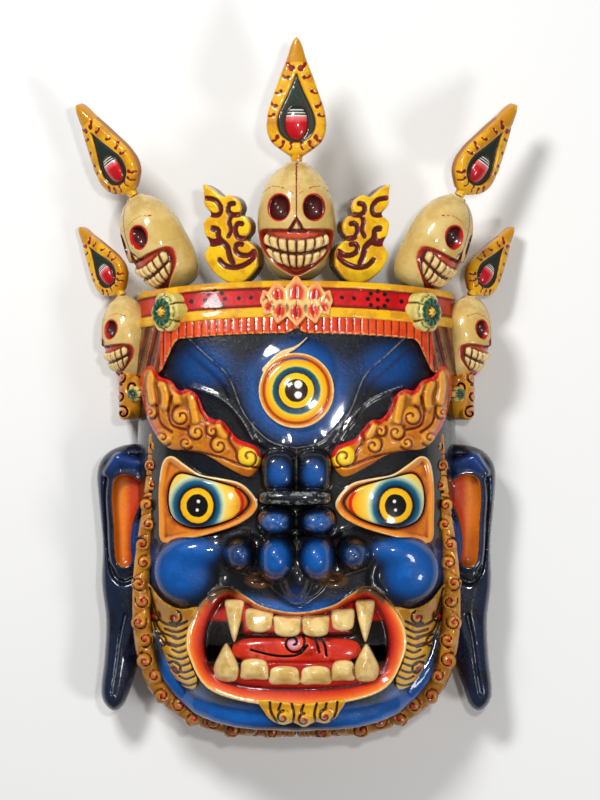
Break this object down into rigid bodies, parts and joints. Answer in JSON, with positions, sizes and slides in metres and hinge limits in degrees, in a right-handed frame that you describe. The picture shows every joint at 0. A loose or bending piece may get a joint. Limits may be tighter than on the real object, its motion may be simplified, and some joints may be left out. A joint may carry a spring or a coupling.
{
  "type": "tibetan cham mask",
  "caption": "Carved and painted wooden dance mask: a hollow wrathful face with fanged open mouth, long ears and a crown of skulls with flame jewels.",
  "frame": {"origin": "middle of the underside of the whole object, in the plane of the back rim", "axes": "+X to the viewer's right, +Y from chin to crown, +Z out of the face"},
  "size_m": [0.387, 0.5928, 0.1676],
  "materials": {
    "blue_lacquer": "glossy painted carved wood, bright blue to blue-black",
    "bone_paint": "aged cream paint on carved wood, varnished",
    "gold_paint": "gold and orange paint with red outlines, varnished",
    "ear_lacquer": "navy-black gloss paint with an orange ear hollow"
  },
  "bodies": {
    "root": {"mask": "blue_lacquer", "skull_centre": "bone_paint", "skull_left_upper": "bone_paint", "skull_right_upper": "bone_paint", "skull_left_lower": "bone_paint", "skull_right_lower": "bone_paint", "flame_centre": "gold_paint", "flame_left_upper": "gold_paint", "flame_right_upper": "gold_paint", "flame_left_lower": "gold_paint", "flame_right_lower": "gold_paint", "scroll_left": "gold_paint", "scroll_right": "gold_paint", "ear_left": "ear_lacquer", "ear_right": "ear_lacquer"}
  },
  "joints": []
}
